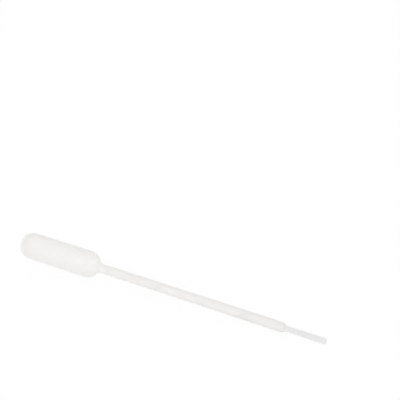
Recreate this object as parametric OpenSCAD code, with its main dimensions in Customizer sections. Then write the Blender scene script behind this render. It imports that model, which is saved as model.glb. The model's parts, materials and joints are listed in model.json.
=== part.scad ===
// Plastic dropper pipette: one hollow blown piece, lying as it comes to rest.
// The wall is an outer outline turned about the pipette's axis, less an inner outline turned the same way.
// Outlines are drawn with the radius along X and the distance from the dome's end along Y.

/* [Overall] */
// Length from the end of the dome to the open end
overall_len = 155; // [125:1:190]
// Turn about the axis at rest: how far the graduated side faces above the horizontal, in degrees
graduated_side_up = 25; // [10:1:170]

/* [Bulb] */
// Length of the bulb, from the end of the dome to where the stem begins
bulb_len = 42; // [34:0.5:52]
// Outer diameter where the dome meets the barrel
dome_d = 12.5; // [10:0.1:16]
// Outer diameter at the low end of the barrel
bulb_d = 12.9; // [10.6:0.1:16]
// Radius of the round shoulder below the barrel
bulb_shoulder_r = 5.2; // [4:0.1:5.2]
// Wall of the bulb
bulb_wall = 0.4; // [0.3:0.05:0.7]
// Wall at the end of the dome, thick where the tube was pinched shut
dome_wall = 1.1; // [0.6:0.1:1.6]

/* [Stem] */
// Outer diameter of the stem at the neck
neck_d = 4.35; // [3.6:0.05:5.4]
// Radius of the hollow curve from the bulb into the neck
neck_fillet_r = 2.6; // [2.2:0.1:4]
// Outer diameter of the stem at its low end
stem_d = 4.85; // [4:0.05:6]
// Wall of the stem
stem_wall = 0.45; // [0.35:0.05:0.65]

/* [Tip] */
// Length of the tip, from the start of its shoulder to the open end
tip_len = 21.8; // [17:0.2:28]
// Radius of the round edge at the foot of the stem
tip_shoulder_r = 1.6; // [1:0.1:2]
// Radius of the hollow curve from that edge into the tip
tip_fillet_r = 1.6; // [1:0.1:2.4]
// Outer diameter of the tip at its waist, just past the shoulder
waist_d = 2.85; // [2.4:0.05:3.4]
// Outer diameter at the open end
tip_d = 3.05; // [2.4:0.05:3.7]
// Length of the straight stretch at the open end
tip_land = 10; // [6:0.5:13]
// Wall of the tip
tip_wall = 0.45; // [0.35:0.05:0.6]

/* [Graduations] */
// Distance from the tip's shoulder up to the first mark
mark_first = 21.3; // [15:0.1:30]
// Distance from each mark to the next
mark_pitch = 22.8; // [15:0.1:32]
// Least distance from the neck's curve down to the top mark
mark_clear = 1; // [0.5:0.1:3]
// Width of a mark where it leaves the stem
mark_w = 0.5; // [0.3:0.05:0.9]
// Width of a mark along its crest
mark_crest_w = 0.25; // [0.1:0.05:0.3]
// Height of a mark above the stem
mark_proud = 0.12; // [0.06:0.01:0.25]
// How far a mark reaches round the stem, in degrees
mark_span = 90; // [60:2:140]

/* [Mould lines] */
// Width of the parting line left where the two halves of the mould meet
seam_w = 0.2; // [0.1:0.05:0.4]
// Height of the parting line above the wall
seam_proud = 0.06; // [0.04:0.01:0.12]
// Length of the pinched-off weld across the end of the dome
pinch_len = 4.8; // [3:0.1:7]
// Width of the pinched-off weld
pinch_w = 0.5; // [0.45:0.05:0.9]
// Height of the pinched-off weld above the dome
pinch_proud = 0.22; // [0.15:0.01:0.5]

/* [Hidden] */
$fn = 96;
past = 1; // how far the bore's cutter runs past the open end
sunk = 0.15; // how deep a mark's foot lies in the wall

dome_r = dome_d / 2;
bulb_r = bulb_d / 2;
neck_r = neck_d / 2;
stem_r = stem_d / 2;
waist_r = waist_d / 2;
tip_r = tip_d / 2;

// Length taken by a step down from radius big to radius small through two arcs that touch
function step_len(big, small, convex_r, hollow_r) =
    sqrt(pow(convex_r + hollow_r, 2) - pow(convex_r + hollow_r - big + small, 2));

barrel_end = bulb_len - step_len(bulb_r, neck_r, bulb_shoulder_r, neck_fillet_r);
tip_start = overall_len - tip_len;
land_start = overall_len - tip_land;

// Marks stand at equal steps up the stem for as long as there is stem to carry them
stem_len = tip_start - bulb_len;
mark_count = 1 + floor((stem_len - mark_first - mark_clear) / mark_pitch);
mark_at = [for (i = [0 : mark_count - 1]) tip_start - mark_first - i * mark_pitch];
function stem_r_at(t) = neck_r + (stem_r - neck_r) * (t - bulb_len) / stem_len;

// The weld is an arc through both its ends on the dome and through its own crest
pinch_sag = dome_r - sqrt(pow(dome_r, 2) - pow(pinch_len / 2, 2)) + pinch_proud;
pinch_r = (pow(pinch_len / 2, 2) + pow(pinch_sag, 2)) / (2 * pinch_sag);

// It rests on a round of the bulb at one end. At the other it rests on the rim of the open end or on
// the foot of the stem. Of the two rounds the higher tilt holds, and of the two low ends the lower.
function low_r(r) = max(
    r, (r + seam_proud) * abs(cos(graduated_side_up)) + seam_w / 2 * sin(graduated_side_up));
low_ends = [[overall_len, low_r(tip_r)], [tip_start, low_r(stem_r)]];
function tilt_between(c, round_r, low) = asin(round_r / norm(low - c)) - atan2(low.y - c.y, low.x - c.x);
function tilt_onto(low) = max(
    tilt_between([dome_r, 0], dome_r, low),
    tilt_between([barrel_end, bulb_r - bulb_shoulder_r], bulb_shoulder_r, low));
rest_tilt = min([for (low = low_ends) tilt_onto(low)]);
rest_rise = max([for (low = low_ends) low.x * sin(rest_tilt) + low.y * cos(rest_tilt)]);
rest_mid = ((overall_len - pinch_proud) * cos(rest_tilt) + tip_r * sin(rest_tilt)) / 2;

// Fills the round edge of a step: the part of a circle at c that lies past c.y and right of the axis
module round_edge(c, r) {
    intersection() {
        translate(c) circle(r);
        translate([0, c.y]) square([c.x + r, r]);
    }
}

// Cuts the hollow curve of a step: the half of a circle at c that lies before c.y
module hollow_curve(c, r) {
    intersection() {
        translate(c) circle(r);
        translate([c.x - r, c.y - r]) square([2 * r, r]);
    }
}

// Half outline of the pipette, moved in from the outer surface by the wall of each stretch.
// With no wall it is the outer outline, and with a negative one it stands proud of it.
module outline(in_dome, in_bulb, in_stem, in_tip, beyond = 0) {
    dome = [dome_r - in_bulb, in_dome + dome_r - in_bulb];
    barrel = [bulb_r - in_bulb, barrel_end];
    shoulder_r = bulb_shoulder_r - in_bulb;
    shoulder = [bulb_r - bulb_shoulder_r, barrel_end];
    hollow_r = neck_fillet_r + in_stem;
    neck = [neck_r - in_stem, barrel_end + step_len(barrel.x, neck_r - in_stem, shoulder_r, hollow_r)];
    hollow = [neck_r + neck_fillet_r, neck.y];
    foot = [stem_r - in_stem, tip_start];
    edge_r = tip_shoulder_r - in_stem;
    edge = [stem_r - tip_shoulder_r, tip_start];
    cove_r = tip_fillet_r + in_tip;
    waist = [waist_r - in_tip, tip_start + step_len(foot.x, waist_r - in_tip, edge_r, cove_r)];
    cove = [waist_r + tip_fillet_r, waist.y];
    land = [tip_r - in_tip, land_start];
    mouth = [tip_r - in_tip, overall_len + beyond];
    difference() {
        polygon([
            [0, dome.y], dome, barrel, shoulder, hollow, neck,
            foot, edge, cove, waist, land, mouth, [0, mouth.y]
        ]);
        hollow_curve(hollow, hollow_r);
        hollow_curve(cove, cove_r);
    }
    round_edge(shoulder, shoulder_r);
    round_edge(edge, edge_r);
    intersection() {
        translate([0, dome.y]) circle(dome.x);
        translate([0, in_dome]) square(dome.x);
    }
}

// Turned about the X axis, or laid flat in the XY plane with a thickness
module turned() rotate([0, 90, 0]) rotate_extrude() children();
module laid_flat(thickness) rotate([0, 0, -90]) linear_extrude(thickness, center = true) children();

// Parting line: a fin in the mould's plane, a little larger than the outline all round
module parting_line() {
    laid_flat(seam_w) {
        outline(-seam_proud, -seam_proud, -seam_proud, -seam_proud);
        mirror([1, 0]) outline(-seam_proud, -seam_proud, -seam_proud, -seam_proud);
    }
}

// Weld where the tube was pinched shut: a low lens standing on the end of the dome
module pinched_weld() {
    laid_flat(pinch_w) translate([0, pinch_r - pinch_proud]) circle(pinch_r);
}

// One raised graduation: a ridge with sloping flanks, part way round the graduated side
module graduation(t) {
    foot = stem_r_at(t) - sunk;
    crest = stem_r_at(t) + mark_proud;
    half_w = mark_w / 2;
    half_crest = mark_crest_w / 2;
    rotate([0, 90, 0]) rotate([0, 0, 180 - mark_span / 2]) rotate_extrude(angle = mark_span)
        polygon([[foot, t - half_w], [crest, t - half_crest], [crest, t + half_crest], [foot, t + half_w]]);
}

module pipette() {
    color([0.93, 0.925, 0.91])
    translate([-rest_mid, 0, rest_rise])
    rotate([0, rest_tilt, 0])
    rotate([90 - graduated_side_up, 0, 0])
    difference() {
        union() {
            turned() outline(0, 0, 0, 0);
            parting_line();
            pinched_weld();
            for (t = mark_at) graduation(t);
        }
        turned() outline(dome_wall, bulb_wall, stem_wall, tip_wall, past);
    }
}

pipette();
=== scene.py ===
import json
import math
import bpy
import numpy as np
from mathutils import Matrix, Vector


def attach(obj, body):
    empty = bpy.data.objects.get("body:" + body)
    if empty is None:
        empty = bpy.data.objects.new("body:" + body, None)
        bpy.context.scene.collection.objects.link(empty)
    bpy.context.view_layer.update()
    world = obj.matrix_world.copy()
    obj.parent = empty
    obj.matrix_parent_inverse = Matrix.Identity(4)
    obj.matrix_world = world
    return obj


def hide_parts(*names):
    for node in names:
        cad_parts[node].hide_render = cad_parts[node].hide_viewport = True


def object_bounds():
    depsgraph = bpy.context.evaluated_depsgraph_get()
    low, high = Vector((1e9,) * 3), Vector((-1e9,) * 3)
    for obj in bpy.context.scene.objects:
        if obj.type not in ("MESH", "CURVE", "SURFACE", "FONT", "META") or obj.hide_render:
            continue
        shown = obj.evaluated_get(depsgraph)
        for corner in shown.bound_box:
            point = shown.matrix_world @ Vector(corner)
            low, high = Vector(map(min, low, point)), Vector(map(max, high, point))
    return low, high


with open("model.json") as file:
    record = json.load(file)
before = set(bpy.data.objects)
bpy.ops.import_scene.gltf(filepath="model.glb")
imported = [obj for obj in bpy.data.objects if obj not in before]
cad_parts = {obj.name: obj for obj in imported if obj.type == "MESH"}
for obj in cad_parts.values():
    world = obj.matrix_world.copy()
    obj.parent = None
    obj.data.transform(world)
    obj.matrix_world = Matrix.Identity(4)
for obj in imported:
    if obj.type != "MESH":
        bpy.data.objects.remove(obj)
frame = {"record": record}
cadLow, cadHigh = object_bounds()
mm = 0.001
print("frame loaded, box in mm:", [round((b - a) / mm, 2) for a, b in zip(cadLow, cadHigh)])

# The pipette's axis and its open end come from the mount in the tip's bore.
bore = next(m for m in frame["record"]["mounts"] if m["name"] == "tip_bore")
along = np.array(bore["axis"]) / np.linalg.norm(bore["axis"])  # from the dome to the open end
mouth = np.array(bore["pos_m"]) + along * bore["dims"]["length_mm"] * mm / 2
across = np.array([0.0, 1.0, 0.0])
lift = np.cross(along, across)  # square to the axis, as near to straight up as it gets

pipette = dict(  # lengths in millimetres and angles in degrees
    length=155.0, domeR=6.25, bulbR=6.45, bulbLen=42.0, shoulderR=5.2,
    neckR=2.175, neckCurveR=2.6, stemR=2.425,
    tipLen=21.8, footR=1.6, tipCurveR=1.6, waistR=1.425, tipR=1.525, tipLand=10.0,
    domeWall=1.1, bulbWall=0.4, stemWall=0.45, tipWall=0.45, lipR=0.09,
    marksUp=25.0,  # how far above the horizontal the graduated side faces
    markFirst=21.3, markPitch=22.8, markCount=4,  # up the stem from the foot
    markProud=0.12, markSpan=90.0, markFade=5.0,  # markFade: the angle over which each end dies away
    seamProud=0.06, pinchProud=0.22, pinchLen=4.8,
    # From its middle, a raised line's flat crest reaches out to its top, and its foot to its edge.
    markTop=0.125, markEdge=0.25, seamTop=0.04, seamEdge=0.12, pinchTop=0.15, pinchEdge=0.31,
    seamTurn=1.2,  # nearer the axis than this, the parting line turns from outwards to forwards
    skinDrift=0.012, skinPhase=0.4,  # how far the skin wanders in radius,
    skinFrom=1.0, skinTo=6.0,  # which comes in between these two radii
    wallDrift=0.05, wallPhase=1.7,  # how far the wall wanders in thickness,
    boreEase=1.0, poleEase=3.0,  # which comes in over these distances from the bore and from the axis
    waves=((0.5, 9.1, 2, 1.0), (0.3, 23.0, -3, 2.1), (0.2, 4.3, 5, -1.0)),  # share, length, turns, lag
    around=160, crowding=0.4,  # columns round the axis, and how much they crowd towards the parting line
    outerRows=dict(dome=40, barrel=26, neck=22, stem=96, foot=11, tip=9),
    innerRows=dict(dome=26, barrel=22, neck=18, stem=76, foot=9, tip=8),
    domeCrowding=1.25,  # above 1, the dome's rows crowd towards its end, where the weld is
    markRows=13, markReach=0.3, markRoom=0.31,  # rows over a mark, how far they reach and what they clear
    lipRows=4,
)
p = pipette
tipStart = p["length"] - p["tipLen"]
landStart = p["length"] - p["tipLand"]
markAt = [tipStart - p["markFirst"] - i * p["markPitch"] for i in range(p["markCount"])]
start = mouth - along * p["length"] * mm
up = math.radians(p["marksUp"])
markWay = -math.cos(up) * across + math.sin(up) * lift  # the way the graduated side faces
seamWay = np.cross(markWay, along)  # the parting line runs on this side and opposite


# A point t millimetres from the dome's end and r from the axis, at an angle round from the marks:
# the start, plus t along the axis, plus r times the angle's cosine along markWay and its sine along
# seamWay.
def place(t, r, angle):
    spoke = np.cos(angle)[..., None] * markWay + np.sin(angle)[..., None] * seamWay
    return start + (t[..., None] * along + r[..., None] * spoke) * mm


# The length of a step down in radius from big to small through a convex arc and a hollow one that
# touch. Their centres are reach apart on the slant, and reach less the drop apart in radius, so the
# length is the root of the one's square less the other's.
def stepLen(big, small, convex, hollow):
    reach = convex + hollow
    return math.sqrt(reach ** 2 - (reach - big + small) ** 2)


# That step as distances and radii, from just past its start: the convex arc out to the angle turn,
# at which the arcs meet, and the hollow arc back to 0.
def stepDown(big, small, convex, hollow, at, count):
    run = stepLen(big, small, convex, hollow)
    turn = math.atan2(run, convex + hollow - big + small)
    a = np.linspace(0, turn, count)[1:]
    b = np.linspace(turn, 0, count)[1:]
    t = np.r_[at + convex * np.sin(a), at + run - hollow * np.sin(b)]
    r = np.r_[big - convex + convex * np.cos(a), small + hollow - hollow * np.cos(b)]
    return t, r


# A straight stretch of an outline in equal steps, from just past its start
def lineTo(t0, r0, t1, r1, count):
    s = np.linspace(0, 1, count + 1)[1:]
    return t0 + (t1 - t0) * s, r0 + (r1 - r0) * s


barrelEnd = p["bulbLen"] - stepLen(p["bulbR"], p["neckR"], p["shoulderR"], p["neckCurveR"])


# The outline set in from the outer surface by each wall, as distances and radii: a quarter circle for
# the dome, the barrel, the step into the neck, the stem, the step into the tip, the waist and the land.
def outline(inDome, inBulb, inStem, inTip, rows):
    domeR, bulbR, neckR = p["domeR"] - inBulb, p["bulbR"] - inBulb, p["neckR"] - inStem
    stemR, waistR, tipR = p["stemR"] - inStem, p["waistR"] - inTip, p["tipR"] - inTip
    a = np.linspace(0, 1, rows["dome"]) ** p["domeCrowding"] * math.pi / 2
    dome = inDome + domeR - domeR * np.cos(a), domeR * np.sin(a)
    barrel = lineTo(inDome + domeR, domeR, barrelEnd, bulbR, rows["barrel"])
    neck = stepDown(bulbR, neckR, p["shoulderR"] - inBulb, p["neckCurveR"] + inStem, barrelEnd, rows["neck"])
    stem = lineTo(neck[0][-1], neckR, tipStart, stemR, rows["stem"])
    foot = stepDown(stemR, waistR, p["footR"] - inStem, p["tipCurveR"] + inTip, tipStart, rows["foot"])
    waist = lineTo(foot[0][-1], waistR, landStart, tipR, rows["tip"])
    land = lineTo(landStart, tipR, p["length"], tipR, rows["tip"])
    return np.hstack([dome, barrel, neck, stem, foot, waist, land])


# The outer outline, with the rows near each mark swapped for closer ones that carry its flanks
def markedOutline():
    t, r = outline(0, 0, 0, 0, p["outerRows"])
    close = np.linspace(-p["markReach"], p["markReach"], p["markRows"])
    extra = np.concatenate([at + close for at in markAt])
    keep = np.min(np.abs(t[:, None] - np.array(markAt)), axis=1) > p["markRoom"]
    allT, allR = np.r_[t[keep], extra], np.r_[r[keep], np.interp(extra, t, r)]
    order = np.argsort(allT, kind="stable")
    return allT[order], allR[order]


# An outline as two columns of numbers, without its point on the axis, and with its last point swapped
# for a quarter circle over the lip. outward is 1 for the outer outline and -1 for the inner one.
def withLip(t, r, outward):
    a = np.linspace(0, math.pi / 2, p["lipRows"])
    lipT = p["length"] - p["lipR"] * (1 - np.sin(a))
    lipR = r[-1] - outward * p["lipR"] * (1 - np.cos(a))
    return np.r_[t[1:-1], lipT][:, None], np.r_[r[1:-1], lipR][:, None]


# A raised line's height as a share of its full one: 1 over its flat crest, and from top to edge on
# each side a ramp down to 0 that is smooth at both ends, 3 times the square less twice the cube.
def ridge(distance, top, edge):
    s = np.clip((edge - np.abs(distance)) / (edge - top), 0, 1)
    return s * s * (3 - 2 * s)


# The graduations: a ridge across the pipette at each mark, times a ridge in the angle that ends it
def markRelief(t, angle):
    turn = np.arctan2(np.sin(angle), np.cos(angle))  # counted both ways from the middle of the marks
    half = p["markSpan"] / 2
    ends = ridge(turn, math.radians(half - p["markFade"]), math.radians(half))
    return p["markProud"] * ends * sum(ridge(t - at, p["markTop"], p["markEdge"]) for at in markAt)


# The parting line: a ridge in the distance from the mould's plane, so it runs on over the dome
def seamRelief(r, angle):
    return p["seamProud"] * ridge(r * np.cos(angle), p["seamTop"], p["seamEdge"])


# The pinched weld on the dome's end: a ridge along the mould's plane, whose height falls to each end
# as 1 less the square of the way out
def pinchRelief(r, angle):
    reach = np.clip(1 - (2 * r * np.sin(angle) / p["pinchLen"]) ** 2, 0, None)
    return p["pinchProud"] * reach * ridge(r * np.cos(angle), p["pinchTop"], p["pinchEdge"])


# The slow unevenness of blown plastic, from -1 to 1: a sum of sines of the distance over a wave's
# length, plus its turns times the angle, plus its lag times the phase
def drift(t, angle, phase):
    return sum(share * np.sin(t / length + turns * angle + lag * phase)
               for share, length, turns, lag in p["waves"])


# Faces of a grid whose columns close round. A ring's rows close too. Otherwise each end is closed by
# a fan on a point of its own, and those two points come after the grid's.
def gridFaces(rows, columns, ring=False):
    i, j = np.meshgrid(np.arange(rows if ring else rows - 1), np.arange(columns), indexing="ij")
    i2, j2 = (i + 1) % rows, (j + 1) % columns
    corners = [i * columns + j, i * columns + j2, i2 * columns + j2, i2 * columns + j]
    quads = np.stack(corners, -1).reshape(-1, 4)
    if ring:
        return [quads]
    j, j2, end = j[0], j2[0], (rows - 1) * columns
    first = np.full(columns, rows * columns)
    return [quads, np.stack([j2, j, first], -1), np.stack([end + j, end + j2, first + 1], -1)]


def put(name, data):  # a new object in the scene
    thing = bpy.data.objects.new(name, data)
    bpy.context.scene.collection.objects.link(thing)
    return thing


def meshPiece(name, points, faces, smooth=True):
    mesh = bpy.data.meshes.new(name)
    mesh.from_pydata(points.tolist(), [], [face for block in faces for face in block.tolist()])
    mesh.update()
    mesh.polygons.foreach_set("use_smooth", np.full(len(mesh.polygons), smooth))
    return put(name, mesh)


# The blown wall as one closed surface: over the outside from the dome to the lip, round the lip, and
# back along the inside to the dome. Each row is a circle, raised by the relief and moved by the drift.
def buildWall():
    u = np.linspace(0, 2 * math.pi, p["around"], endpoint=False)
    angle = (u + p["crowding"] * np.sin(2 * u))[None, :]
    t, r = withLip(*markedOutline(), 1)
    outward = np.clip(r / p["seamTurn"], 0, 1)  # how much of the parting line's height stands outwards
    grown = np.clip((r - p["skinFrom"]) / (p["skinTo"] - p["skinFrom"]), 0, 1)
    raised = r + markRelief(t, angle) + seamRelief(r, angle) * outward
    raised += p["skinDrift"] * drift(t, angle, p["skinPhase"]) * grown
    forward = (pinchRelief(r, angle) + seamRelief(r, angle) * (1 - outward)) * (t < p["domeR"])
    outside = place(t - forward, raised, angle)
    t, r = withLip(*outline(p["domeWall"], p["bulbWall"], p["stemWall"], p["tipWall"], p["innerRows"]), -1)
    loose = np.clip((r - p["tipR"] + p["tipWall"]) / p["boreEase"], 0, 1) * np.clip(r / p["poleEase"], 0, 1)
    inside = place(t, r + p["wallDrift"] * drift(t, angle, p["wallPhase"]) * loose, angle)
    rows = np.concatenate([outside, inside[::-1]])
    poles = [start - along * p["pinchProud"] * mm, start + along * p["domeWall"] * mm]
    points = np.concatenate([rows.reshape(-1, 3), poles])
    return meshPiece("pipette_wall", points, gridFaces(len(rows), p["around"]))


figures = dict(  # lengths in millimetres on the stem
    words=["0.25", "0.5", "0.75", "1"],  # from the open end up
    below=1.3,  # from a mark's middle to its first figure
    high=1.9, wide=1.15, gap=0.5, point=0.24,  # point: a decimal point's width as a share of wide
    stroke=0.28, proud=0.08, sunk=0.12,  # width of a stroke, height over the stem and depth in it
    arcPoints=14, ovalPoints=24, runPoints=6,  # in an arc, round the nought and between two corners
    step=0.08, softened=4,  # rows along a stroke, and how often its corners are smoothed
    capRows=5, capFrom=0.3,  # rows over a stroke's round end, from this angle on
    sides=8,  # of a stroke's oval section
)


# An arc of an ellipse: the centre plus each radius times the cosine or the sine of the angle
def arc(cx, cy, rx, ry, fromDeg, toDeg, count=figures["arcPoints"]):
    a = np.radians(np.linspace(fromDeg, toDeg, count))
    return np.stack([cx + rx * np.cos(a), cy + ry * np.sin(a)], -1)


# A stroke straight from corner to corner, with points close enough to follow the stem's curve
def run(*corners):
    c = np.array(corners, float)
    s = np.linspace(0, len(c) - 1, figures["runPoints"] * (len(c) - 1) + 1)
    return np.stack([np.interp(s, np.arange(len(c)), c[:, k]) for k in (0, 1)], -1)


# Each figure's stroke, in a box one wide and one high
strokes = {
    "0": arc(0.5, 0.5, 0.42, 0.5, 90, 450, figures["ovalPoints"])[:-1],
    "1": run((0.08, 0.7), (0.55, 1.0), (0.55, 0.0)),
    "2": np.concatenate([arc(0.5, 0.7, 0.42, 0.3, 165, -35), run((0.78, 0.46), (0.08, 0.0), (0.95, 0.0))]),
    "5": np.concatenate([run((0.86, 1.0), (0.2, 1.0), (0.16, 0.58)), arc(0.4, 0.31, 0.48, 0.31, 119, -142)]),
    "7": run((0.08, 1.0), (0.92, 1.0), (0.38, 0.0)),
    ".": run((0.0, 0.0), (figures["point"], 0.0)),
}


# An open stroke in even rows, closer at both ends, and how much the bead swells at each row: over half
# a stroke from each end it is a circle's height, the root of 1 less the square of the way to the end.
def openStroke(line):
    f = figures
    gone = np.r_[0, np.cumsum(np.linalg.norm(np.diff(line, axis=0), axis=1))]
    long = gone[-1]
    cap = min(f["stroke"], long) / 2
    rounding = cap * (1 - np.cos(np.linspace(f["capFrom"], math.pi / 2, f["capRows"])))
    straight = np.linspace(cap, long - cap, max(2, round(long / f["step"])))
    rows = np.unique(np.r_[rounding, straight, long - rounding].round(6))
    line = np.stack([np.interp(rows, gone, line[:, k]) for k in (0, 1)], -1)
    for _ in range(f["softened"]):  # each point is drawn towards its neighbours' middle
        line[1:-1] = (line[:-2] + 2 * line[1:-1] + line[2:]) / 4
    room = np.clip(np.minimum(rows, long - rows) / cap, 0, 1)
    return line, np.sqrt(1 - (1 - room) ** 2)


# One stroke as a closed bead: an oval ring, half sunk in the stem, carried along the stroke. Its points
# are s along the pipette and c round it, and r is the stem's radius there plus the ring's height.
def bead(line, closed):
    f = figures
    if closed:
        way = np.roll(line, -1, 0) - np.roll(line, 1, 0)
        swell = np.ones(len(line))
    else:
        line, swell = openStroke(line)
        way = np.gradient(line, axis=0)
    way = way / np.linalg.norm(way, axis=1)[:, None]
    side = np.stack([-way[:, 1], way[:, 0]], -1)
    radius = np.interp(line[:, 0], [p["bulbLen"], tipStart], [p["neckR"], p["stemR"]])[:, None]
    ring = np.linspace(0, 2 * math.pi, f["sides"], endpoint=False)
    out = np.cos(ring) * swell[:, None] * f["stroke"] / 2
    s, c = (line[:, None, k] + side[:, None, k] * out for k in (0, 1))
    r = radius + np.where(np.sin(ring) > 0, f["proud"], f["sunk"]) * np.sin(ring) * swell[:, None]
    return place(s, r, c / radius)


# The words read along the pipette, each from its mark towards the open end, centred on the graduated
# side: a figure's stroke is stretched to its size and moved along by the widths and gaps before it.
def buildFigures():
    f = figures
    points, faces, count = [], [], 0
    for at, word in zip(markAt, f["words"]):
        s = at + f["below"]
        for letter in word:
            closed = letter == "0"
            line = (strokes[letter] - [0.0, 0.5]) * [f["wide"], f["high"]] + [s, 0.0]
            rows = bead(line, closed)
            ends = [] if closed else [[rows[0].mean(0), rows[-1].mean(0)]]
            faces += [block + count for block in gridFaces(*rows.shape[:2], ring=closed)]
            points.append(np.concatenate([rows.reshape(-1, 3), *ends]))
            count += len(points[-1])
            s += f["gap"] + f["wide"] * (f["point"] if letter == "." else 1)
    return meshPiece("raised_figures", np.concatenate(points), faces)


# Turns a closed piece the right way out, by the sign of the volume that it holds: the sum over its
# triangles of a corner's product with the cross of the other two, over 6
def outwards(piece):
    mesh = piece.data
    mesh.calc_loop_triangles()
    corners = np.zeros(len(mesh.vertices) * 3)
    mesh.vertices.foreach_get("co", corners)
    tris = np.zeros(len(mesh.loop_triangles) * 3, int)
    mesh.loop_triangles.foreach_get("vertices", tris)
    a, b, c = corners.reshape(-1, 3)[tris.reshape(-1, 3)].transpose(1, 0, 2)
    volume = np.einsum("ij,ij->", a, np.cross(b, c)) / 6
    if volume < 0:
        mesh.flip_normals()
    print(piece.name, "triangles", len(mesh.loop_triangles), "volume in mm3", round(abs(volume) / mm ** 3, 1))
    return piece


wall = outwards(buildWall())
numbers = outwards(buildFigures())


class Value:  # a node's output that takes part in sums
    def __init__(self, shop, socket):
        self.shop = shop
        self.socket = socket

    def join(self, operation, first, second):
        return self.shop.add("ShaderNodeMath", dict(operation=operation), first, second)

    def __add__(self, other):
        return self.join("ADD", self, other)

    def __radd__(self, other):
        return self.join("ADD", other, self)

    def __sub__(self, other):
        return self.join("SUBTRACT", self, other)

    def __rsub__(self, other):
        return self.join("SUBTRACT", other, self)

    def __mul__(self, other):
        return self.join("MULTIPLY", self, other)

    def __rmul__(self, other):
        return self.join("MULTIPLY", other, self)

    def __pow__(self, other):
        return self.join("POWER", self, other)

    def __rpow__(self, other):
        return self.join("POWER", other, self)


def find(sockets, key):  # a socket by its number, its name or its identifier
    if isinstance(key, int):
        return sockets[key]
    return next(s for s in sockets if key in (s.name.replace(" ", "_"), s.identifier))


class Shop:  # the nodes of one material, or of the world
    def __init__(self, owner, end="ShaderNodeOutputMaterial"):
        owner.use_nodes = True
        self.owner = owner
        self.tree = owner.node_tree
        self.tree.nodes.clear()
        self.end = self.tree.nodes.new(end)

    # Adds a node: its settings first, then its inputs in order or by name. out says which output counts.
    def add(self, kind, settings, *inputs, out=0, **named):
        node = self.tree.nodes.new(kind)
        for key, value in settings.items():
            setattr(node, key, value)
        for key, value in [*enumerate(inputs), *named.items()]:
            socket = find(node.inputs, key)
            if isinstance(value, Value):
                self.tree.links.new(value.socket, socket)
            else:
                socket.default_value = (*value, 1) if socket.type == "RGBA" else value
        return Value(self, find(node.outputs, out))

    def finish(self, **ends):  # links what is given to the Surface or the Volume
        for key, shader in ends.items():
            self.tree.links.new(shader.socket, self.end.inputs[key])
        return self.owner


milky = dict(
    # The stem's, foot's and tip's tints are darker than the bulb's, the tip's most: painted shade that stands
    # in for the greyer look of the narrower, thicker wall there.
    bulbTint=(0.973, 0.966, 0.955), stemTintAndShade=(0.9605, 0.9525, 0.9435),
    footTintAndShade=(0.947, 0.939, 0.93), tipTintAndShade=(0.834, 0.829, 0.833),
    neckFrom=-0.04, neckTo=-0.032,  # where along X the bulb's tint gives way to the stem's,
    footFrom=0.0, footTo=0.05,  # that to the foot's
    tipFrom=0.0525, tipTo=0.0665,  # and that to the tip's
    streakScale=40.0, streakLong=14.0, streakDetail=3.0,  # streaks are this much longer than wide
    cloudScale=90.0, cloudDetail=2.0, cloud=0.01,  # cloud: how much the colour drifts
    grainScale=2600.0, grainDetail=2.0, grainRough=0.6,
    bumpStrength=0.12, bumpDepth=0.00003, bumpStreaks=2.0,  # bumpStreaks: streaks in the bump to one grain
    rough=0.31, stemRough=0.05, milkRough=0.1,  # stemRough and milkRough are what the stem and the milk add
    roughDrift=0.04,  # how much it drifts with the clouds
    clearBends=1.3, milkBends=1.5,  # refraction, low in the clear part as the wall is thin
    veil=0.34,  # how much of the surface scatters light as milk, face on in the bulb
    rimVeil=0.55, rimPower=1.7, stemRim=1.0,  # what the bulb's rims add, and how much less the stem's do
    neckVeil=0.15, tipVeil=0.42,  # what the thicker wall of the neck and the tip adds
    soak=8.0, soakTint=(0.3, 0.25, 0.0),  # how much light a metre of plastic takes, and what it lets by
)
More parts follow.
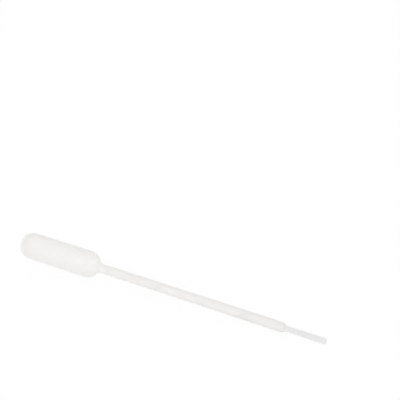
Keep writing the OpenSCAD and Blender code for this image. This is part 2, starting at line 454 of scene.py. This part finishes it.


# Milky plastic: a clear surface and a milky one, mixed by the milk's share, over plastic that soaks up
# light. Each tint gives way to the next along the pipette, darker towards the tip as painted shade for
# the narrower, thicker wall there, and streaks, clouds and grain vary it.
def milkyPlastic():
    m = milky
    shop = Shop(bpy.data.materials.new("milky_plastic"))
    here = shop.add("ShaderNodeTexCoord", {}, out="Object")
    drawn = shop.add("ShaderNodeMapping", {}, here, Scale=(1, m["streakLong"], m["streakLong"]))
    streaks = shop.add("ShaderNodeTexNoise", {}, Vector=drawn, Scale=m["streakScale"],
                       Detail=m["streakDetail"])
    clouds = shop.add("ShaderNodeTexNoise", {}, Vector=here, Scale=m["cloudScale"], Detail=m["cloudDetail"])
    grain = shop.add("ShaderNodeTexNoise", {}, Vector=here, Scale=m["grainScale"], Detail=m["grainDetail"],
                     Roughness=m["grainRough"])
    x = shop.add("ShaderNodeSeparateXYZ", {}, here, out="X")
    stem = shop.add("ShaderNodeMapRange", {}, x, m["neckFrom"], m["neckTo"])
    foot = shop.add("ShaderNodeMapRange", {}, x, m["footFrom"], m["footTo"])
    tip = shop.add("ShaderNodeMapRange", {}, x, m["tipFrom"], m["tipTo"])
    # The colour darkens from the bulb through the stem and the foot to the tip: painted shade, not a change
    # in the plastic.
    tintAndShade = m["bulbTint"]
    for change, after in ((stem, m["stemTintAndShade"]), (foot, m["footTintAndShade"]), (tip, m["tipTintAndShade"])):
        tintAndShade = shop.add("ShaderNodeMix", dict(data_type="RGBA"), change, A_Color=tintAndShade, B_Color=after,
                        out="Result_Color")
    colour = shop.add("ShaderNodeVectorMath", dict(operation="SCALE"), tintAndShade,
                      Scale=1 - m["cloud"] * (streaks + clouds))
    bump = shop.add("ShaderNodeBump", {}, Strength=m["bumpStrength"], Distance=m["bumpDepth"],
                    Height=grain + streaks * m["bumpStreaks"])
    worn = m["roughDrift"] * (clouds - 0.5)  # clouds are 0.5 on average
    rough = m["rough"] + m["stemRough"] * stem + worn
    clear = shop.add("ShaderNodeBsdfPrincipled", {}, colour, Roughness=rough, IOR=m["clearBends"],
                     Normal=bump, Transmission_Weight=1.0)
    milk = shop.add("ShaderNodeBsdfPrincipled", {}, colour, Roughness=rough + m["milkRough"],
                    IOR=m["milkBends"], Normal=bump)
    rim = shop.add("ShaderNodeLayerWeight", {}, out="Facing")
    leaving = shop.add("ShaderNodeNewGeometry", {}, out="Backfacing")  # 1 where light leaves the plastic
    rims = m["rimVeil"] * rim ** m["rimPower"] * (1 - m["stemRim"] * stem)
    neck = 4 * stem * (1 - stem)  # 1 in the middle of the change from bulb to stem
    share = (m["veil"] + rims + m["neckVeil"] * neck + m["tipVeil"] * tip) * (1 - leaving)
    surface = shop.add("ShaderNodeMixShader", {}, share, clear, milk)
    inside = shop.add("ShaderNodeVolumeAbsorption", {}, m["soakTint"], Density=m["soak"])
    return shop.finish(Surface=surface, Volume=inside)


plastic = milkyPlastic()
for piece in (wall, numbers):
    piece.data.materials.append(plastic)
    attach(piece, "root")
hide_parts("pipette")
print("pipette made")

stage = dict(
    floorSize=6.0, floorTone=0.9, white=(1, 1, 1),
    glow=0.85,  # how much of the floor is plain white light, for the light that falls on the pipette,
    showing=0.95,  # and for what brings the white to the eye; the rest takes the shadow
    world=1.0,
)


# The white floor: plain light and a lit surface, mixed by glow, or by showing for a ray that comes
# from the eye straight, mirrored or through the plastic.
def buildFloor():
    shop = Shop(bpy.data.materials.new("floor_white"))
    lit = shop.add("ShaderNodeBsdfDiffuse", {}, (stage["floorTone"],) * 3)
    plain = shop.add("ShaderNodeEmission", {}, stage["white"])
    straight, mirrored, through = (
        shop.add("ShaderNodeLightPath", {}, out=ray)
        for ray in ("Is_Camera_Ray", "Is_Glossy_Ray", "Is_Transmission_Ray"))
    bent = shop.add("ShaderNodeMath", dict(operation="MAXIMUM"), mirrored, through)
    toEye = shop.add("ShaderNodeMath", dict(operation="MAXIMUM"), straight, bent)
    share = stage["glow"] + (stage["showing"] - stage["glow"]) * toEye
    half, z = stage["floorSize"] / 2, cadLow.z
    corners = np.array([(-half, -half, z), (half, -half, z), (half, half, z), (-half, half, z)])
    floor = meshPiece("floor", corners, [np.array([[0, 1, 2, 3]])], smooth=False)
    floor.data.materials.append(shop.finish(Surface=shop.add("ShaderNodeMixShader", {}, share, lit, plain)))


def buildWorld():
    shop = Shop(bpy.data.worlds.new("room"), "ShaderNodeOutputWorld")
    light = shop.add("ShaderNodeBackground", {}, stage["white"], Strength=stage["world"])
    bpy.context.scene.world = shop.finish(Surface=light)


# Stands a lamp or the camera away from its aim and turns it there. Azimuth 0 is at -Y, looking along +Y.
def standAway(thing, aim, azimuth, elevation, distance):
    a, e = math.radians(azimuth), math.radians(elevation)
    away = Vector((math.sin(a) * math.cos(e), -math.cos(a) * math.cos(e), math.sin(e)))
    thing.location = aim + away * distance
    thing.rotation_euler = (aim - thing.location).to_track_quat("-Z", "Y").to_euler()


# One soft lamp, in metres and degrees, aimed at the pipette's middle
lamp = dict(azimuth=22, elevation=34, distance=1.9, wide=1.2, high=0.25, watts=6.0)


def buildLamp(middle):
    light = bpy.data.lights.new("key", "AREA")
    light.shape = "RECTANGLE"
    light.size = lamp["wide"]
    light.size_y = lamp["high"]
    light.energy = lamp["watts"]
    standAway(put("key", light), middle, lamp["azimuth"], lamp["elevation"], lamp["distance"])


# The camera, aimed at the surface the pipette lies on: aside and beyond are how far from the middle
viewer = dict(azimuth=22.49, elevation=43.33, distance=1.3623, aside=-0.01326, beyond=0.0673, lens=251.5)


def buildCamera(middle):
    camera = bpy.data.cameras.new("camera")
    camera.lens = viewer["lens"]
    stand = put("camera", camera)
    aim = Vector((middle.x + viewer["aside"], middle.y + viewer["beyond"], cadLow.z))
    standAway(stand, aim, viewer["azimuth"], viewer["elevation"], viewer["distance"])
    bpy.context.scene.camera = stand


middle = (cadLow + cadHigh) / 2
buildFloor()
buildWorld()
buildLamp(middle)
buildCamera(middle)
bpy.context.scene.view_settings.view_transform = "Standard"
print("stage made")
